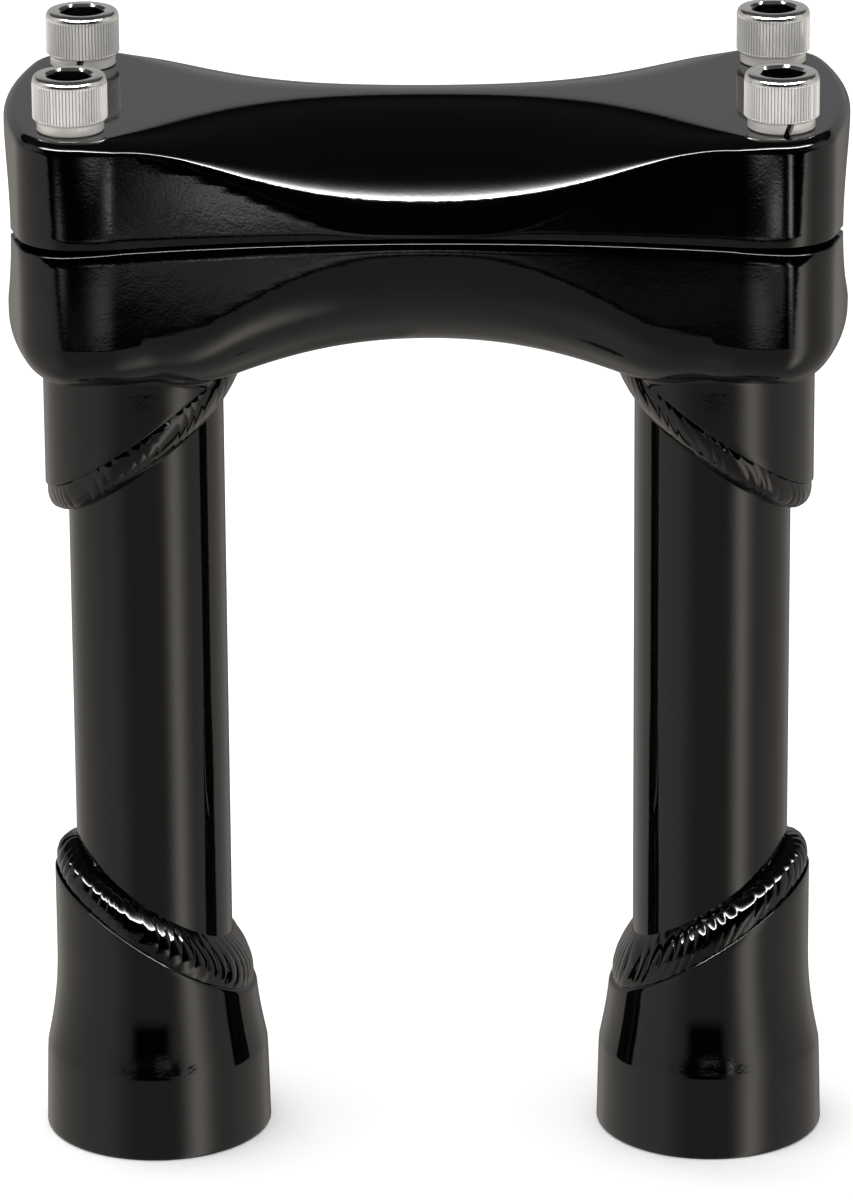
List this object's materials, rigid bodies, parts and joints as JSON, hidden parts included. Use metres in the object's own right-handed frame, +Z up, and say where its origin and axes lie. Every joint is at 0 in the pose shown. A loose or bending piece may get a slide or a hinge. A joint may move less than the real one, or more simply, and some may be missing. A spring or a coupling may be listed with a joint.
{
  "type": "handlebar riser",
  "caption": "Motorcycle handlebar riser: a split bar clamp with capscrews on welded tubular uprights with flared threaded feet, finished in gloss black.",
  "frame": {"origin": "on the ground, midway between the two feet", "axes": "+Z up, +X along the bar to the viewer's right, -Y towards the viewer"},
  "size_m": [0.1304, 0.0544, 0.1819],
  "materials": {
    "gloss_black": "gloss black powder coat with a faint orange peel",
    "stainless": "bright stainless steel",
    "washer_steel": "plain stainless spring steel"
  },
  "bodies": {
    "riser": {"lower_clamp": "gloss_black", "left_tube": "gloss_black", "right_tube": "gloss_black", "left_foot": "gloss_black", "right_foot": "gloss_black", "upper_left_weld": "gloss_black", "upper_right_weld": "gloss_black", "lower_left_weld": "gloss_black", "lower_right_weld": "gloss_black"},
    "cap": {"upper_clamp": "gloss_black"},
    "front_left_washer": {"front_left_washer": "washer_steel"},
    "front_left_screw": {"front_left_screw": "stainless"},
    "rear_left_washer": {"rear_left_washer": "washer_steel"},
    "rear_left_screw": {"rear_left_screw": "stainless"},
    "front_right_washer": {"front_right_washer": "washer_steel"},
    "front_right_screw": {"front_right_screw": "stainless"},
    "rear_right_washer": {"rear_right_washer": "washer_steel"},
    "rear_right_screw": {"rear_right_screw": "stainless"}
  },
  "joints": [
    {"name": "cap_lift", "type": "slide", "parent": "riser", "child": "cap", "axis": [0, 0, 1], "range_m": [0, 0.035]},
    {"name": "front_left_rise", "type": "slide", "parent": "cap", "child": "front_left_washer", "axis": [0, 0, 1], "range_m": [0, 0.0185]},
    {"name": "front_left_turn", "type": "hinge", "parent": "front_left_washer", "child": "front_left_screw", "pos_m": [-0.054, -0.0185, 0.17392], "axis": [0, 0, 1], "range_deg": [0, 4680]},
    {"name": "rear_left_rise", "type": "slide", "parent": "cap", "child": "rear_left_washer", "axis": [0, 0, 1], "range_m": [0, 0.0185]},
    {"name": "rear_left_turn", "type": "hinge", "parent": "rear_left_washer", "child": "rear_left_screw", "pos_m": [-0.054, 0.0185, 0.17392], "axis": [0, 0, 1], "range_deg": [0, 4680]},
    {"name": "front_right_rise", "type": "slide", "parent": "cap", "child": "front_right_washer", "axis": [0, 0, 1], "range_m": [0, 0.0185]},
    {"name": "front_right_turn", "type": "hinge", "parent": "front_right_washer", "child": "front_right_screw", "pos_m": [0.054, -0.0185, 0.17392], "axis": [0, 0, 1], "range_deg": [0, 4680]},
    {"name": "rear_right_rise", "type": "slide", "parent": "cap", "child": "rear_right_washer", "axis": [0, 0, 1], "range_m": [0, 0.0185]},
    {"name": "rear_right_turn", "type": "hinge", "parent": "rear_right_washer", "child": "rear_right_screw", "pos_m": [0.054, 0.0185, 0.17392], "axis": [0, 0, 1], "range_deg": [0, 4680]}
  ],
  "couplings": [
    {"joint": "front_left_rise", "follows": "front_left_turn", "m_per_rad": 0.00022457},
    {"joint": "rear_left_rise", "follows": "rear_left_turn", "m_per_rad": 0.00022457},
    {"joint": "front_right_rise", "follows": "front_right_turn", "m_per_rad": 0.00022457},
    {"joint": "rear_right_rise", "follows": "rear_right_turn", "m_per_rad": 0.00022457}
  ]
}
